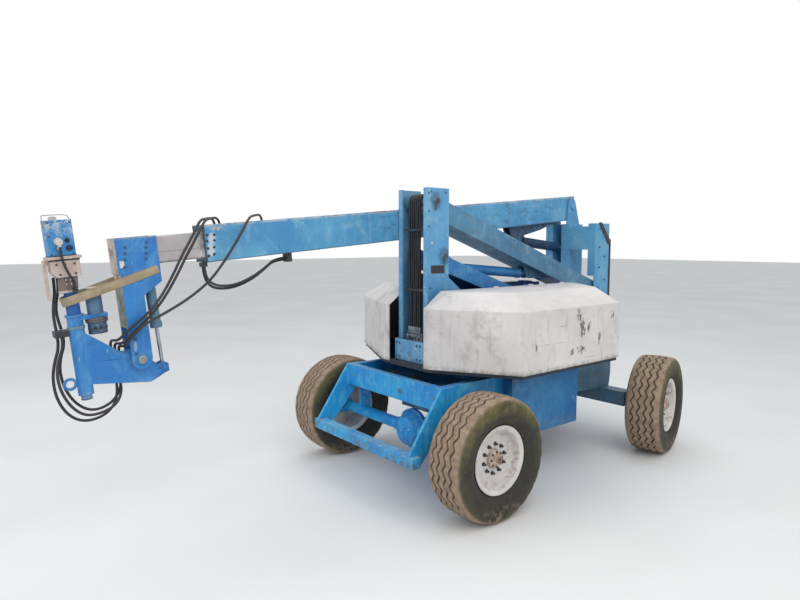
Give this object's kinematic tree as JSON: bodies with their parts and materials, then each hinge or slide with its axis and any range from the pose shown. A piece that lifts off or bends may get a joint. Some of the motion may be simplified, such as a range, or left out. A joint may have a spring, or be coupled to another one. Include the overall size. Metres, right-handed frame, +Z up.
{
  "type": "articulating boom lift",
  "caption": "Four-wheel self-propelled boom lift, parked with its riser and telescopic boom stowed and its platform taken off; the wheels, steering, slew, riser, boom and hoods move.",
  "frame": {"origin": "on the ground under the middle of the whole stowed machine", "axes": "+X toward the boom's head and the drive axle, +Y to the machine's left side, +Z up"},
  "size_m": [4.9399, 2.1921, 2.2881],
  "materials": {
    "blue_paint": "faded satin",
    "cast": "oily",
    "chromed": "polished",
    "hood_shell": "chalked white",
    "hose": "matt",
    "pale_boom": "faded white",
    "rim_paint": "white with rust",
    "tyre": "dusty",
    "valve": "dull",
    "webbing": "dusty"
  },
  "bodies": {
    "chassis": {"chassis_box": "blue_paint", "front_frame": "blue_paint", "rear_frame": "blue_paint", "drive_axle": "blue_paint", "steer_axle": "blue_paint", "slew_ring": "blue_paint"},
    "wheel_drive_near": {"tyre_drive_near": "tyre", "rim_drive_near": "rim_paint"},
    "wheel_drive_far": {"tyre_drive_far": "tyre", "rim_drive_far": "rim_paint"},
    "knuckle_near": {"steer_knuckle_near": "blue_paint"},
    "knuckle_far": {"steer_knuckle_far": "blue_paint"},
    "wheel_steer_near": {"tyre_steer_near": "tyre", "rim_steer_near": "rim_paint"},
    "wheel_steer_far": {"tyre_steer_far": "tyre", "rim_steer_far": "rim_paint"},
    "tie_rod": {"tie_rod": "blue_paint"},
    "turntable": {"turntable_deck": "blue_paint", "bay_walls": "blue_paint", "riser_mast": "blue_paint", "engine_block": "cast", "tank_block": "cast", "valve_block": "valve", "mast_hoses": "hose"},
    "hood_near": {"hood_near": "hood_shell"},
    "hood_far": {"hood_far": "hood_shell"},
    "upper_arm": {"upper_arm": "blue_paint"},
    "lower_arm": {"lower_arm": "blue_paint"},
    "riser_knuckle": {"riser_knuckle": "blue_paint", "knuckle_strip": "hose"},
    "riser_barrel": {"riser_barrel": "blue_paint"},
    "riser_rod": {"riser_rod": "chromed"},
    "boom_outer": {"boom_outer": "blue_paint", "hose_loop_a": "hose", "hose_loop_b": "hose", "hose_clamps": "cast"},
    "boom_barrel": {"boom_barrel": "blue_paint"},
    "boom_rod": {"boom_rod": "chromed"},
    "boom_inner": {"boom_inner": "pale_boom", "boom_head": "blue_paint"},
    "level_barrel": {"level_barrel": "blue_paint"},
    "level_rod": {"level_rod": "chromed"},
    "platform_bracket": {"platform_bracket": "blue_paint", "swing_motor": "cast", "swing_gearbox": "cast", "hose_pair_a": "hose", "hose_pair_b": "hose", "hose_single": "hose", "hose_block": "cast", "webbing_strap": "webbing"},
    "platform_mount": {"platform_fork": "blue_paint", "control_mount": "pale_boom", "control_box": "blue_paint", "control_lead": "hose", "post_hose_a": "hose", "post_hose_b": "hose", "lead_fittings": "cast"}
  },
  "joints": [
    {"name": "drive_near_spin", "type": "hinge", "parent": "chassis", "child": "wheel_drive_near", "pos_m": [0.1048, 0.8685, 0.42], "axis": [0, 1, 0], "continuous": true},
    {"name": "drive_far_spin", "type": "hinge", "parent": "chassis", "child": "wheel_drive_far", "pos_m": [0.1048, -0.8685, 0.42], "axis": [0, 1, 0], "continuous": true},
    {"name": "steer_near", "type": "hinge", "parent": "chassis", "child": "knuckle_near", "pos_m": [-2.0002, 0.6985, 0.42], "axis": [0, 0, 1], "range_deg": [-44, 16]},
    {"name": "steer_far", "type": "hinge", "parent": "chassis", "child": "knuckle_far", "pos_m": [-2.0002, -0.6985, 0.42], "axis": [0, 0, 1], "range_deg": [-44.5, 16.5]},
    {"name": "tie_rod_slide", "type": "slide", "parent": "chassis", "child": "tie_rod", "axis": [0, 1, 0], "range_m": [-0.04264, 0.11377]},
    {"name": "steer_near_spin", "type": "hinge", "parent": "knuckle_near", "child": "wheel_steer_near", "pos_m": [-2.04132, 0.86345, 0.42], "axis": [-0.2419, 0.9703, 0], "continuous": true},
    {"name": "steer_far_spin", "type": "hinge", "parent": "knuckle_far", "child": "wheel_steer_far", "pos_m": [-1.95907, -0.86345, 0.42], "axis": [-0.2419, 0.9703, 0], "continuous": true},
    {"name": "slew", "type": "hinge", "parent": "chassis", "child": "turntable", "pos_m": [-0.9477, 0, 0.9], "axis": [0, 0, 1], "range_deg": [-180, 180]},
    {"name": "hood_near_lift", "type": "hinge", "parent": "turntable", "child": "hood_near", "pos_m": [-0.9477, 0.3, 1.48], "axis": [1, 0, 0], "range_deg": [0, 60]},
    {"name": "hood_far_lift", "type": "hinge", "parent": "turntable", "child": "hood_far", "pos_m": [-0.9477, -0.103, 1.48], "axis": [-1, 0, 0], "range_deg": [0, 50]},
    {"name": "riser_lift", "type": "hinge", "parent": "turntable", "child": "upper_arm", "pos_m": [0.0083, 0.076, 2.136], "axis": [0, 1, 0], "range_deg": [0, 80]},
    {"name": "riser_lower_arm", "type": "hinge", "parent": "turntable", "child": "lower_arm", "pos_m": [-0.0747, 0.076, 1.734], "axis": [0, 1, 0], "range_deg": [-0.5, 80.5]},
    {"name": "riser_knuckle_turn", "type": "hinge", "parent": "upper_arm", "child": "riser_knuckle", "pos_m": [-2.0775, 0, 1.40556], "axis": [0, -1, 0], "range_deg": [-0.5, 80.5]},
    {"name": "riser_barrel_turn", "type": "hinge", "parent": "lower_arm", "child": "riser_barrel", "pos_m": [-0.3878, 0, 1.62965], "axis": [0, 1, 0], "range_deg": [-9.74, 0.5]},
    {"name": "riser_rod_slide", "type": "slide", "parent": "riser_barrel", "child": "riser_rod", "axis": [-0.9966, 0, -0.0825], "range_m": [-0.002, 0.50264]},
    {"name": "boom_lift", "type": "hinge", "parent": "riser_knuckle", "child": "boom_outer", "pos_m": [-2.0775, -0.195, 2.19], "axis": [0, -1, 0], "range_deg": [0, 75]},
    {"name": "boom_barrel_turn", "type": "hinge", "parent": "riser_knuckle", "child": "boom_barrel", "pos_m": [-2.0275, 0, 1.785], "axis": [0, -1, 0], "range_deg": [-0.5, 60.4]},
    {"name": "boom_rod_slide", "type": "slide", "parent": "boom_barrel", "child": "boom_rod", "axis": [0.9951, 0, 0.0991], "range_m": [-0.002, 0.44202]},
    {"name": "boom_extend", "type": "slide", "parent": "boom_outer", "child": "boom_inner", "axis": [0.9957, 0, -0.0924], "range_m": [0, 2]},
    {"name": "platform_level", "type": "hinge", "parent": "boom_inner", "child": "platform_bracket", "pos_m": [1.99407, -0.195, 1.15247], "axis": [0, 1, 0], "range_deg": [0, 80]},
    {"name": "level_barrel_turn", "type": "hinge", "parent": "boom_inner", "child": "level_barrel", "pos_m": [1.9211, 0, 1.64331], "axis": [0, 1, 0], "range_deg": [-3.85, 0.5]},
    {"name": "level_rod_slide", "type": "slide", "parent": "level_barrel", "child": "level_rod", "axis": [0.117, 0, 0.9931], "range_m": [-0.002, 0.20137]},
    {"name": "platform_turn", "type": "hinge", "parent": "platform_bracket", "child": "platform_mount", "pos_m": [2.32659, -0.195, 1.43496], "axis": [0.0924, 0, 0.9957], "range_deg": [-60, 60]}
  ],
  "couplings": [
    {"joint": "steer_far", "follows": "steer_near", "ratio": 1},
    {"joint": "tie_rod_slide", "follows": "steer_near", "m_per_rad": -0.14554},
    {"joint": "riser_lower_arm", "follows": "riser_lift", "ratio": 1},
    {"joint": "riser_knuckle_turn", "follows": "riser_lift", "ratio": 1},
    {"joint": "riser_barrel_turn", "follows": "riser_lift", "ratio": -0.11551},
    {"joint": "riser_rod_slide", "follows": "riser_lift", "m_per_rad": 0.35856},
    {"joint": "boom_barrel_turn", "follows": "boom_lift", "ratio": 0.79872},
    {"joint": "boom_rod_slide", "follows": "boom_lift", "m_per_rad": 0.33615},
    {"joint": "level_barrel_turn", "follows": "platform_level", "ratio": -0.041839},
    {"joint": "level_rod_slide", "follows": "platform_level", "m_per_rad": 0.14279}
  ]
}
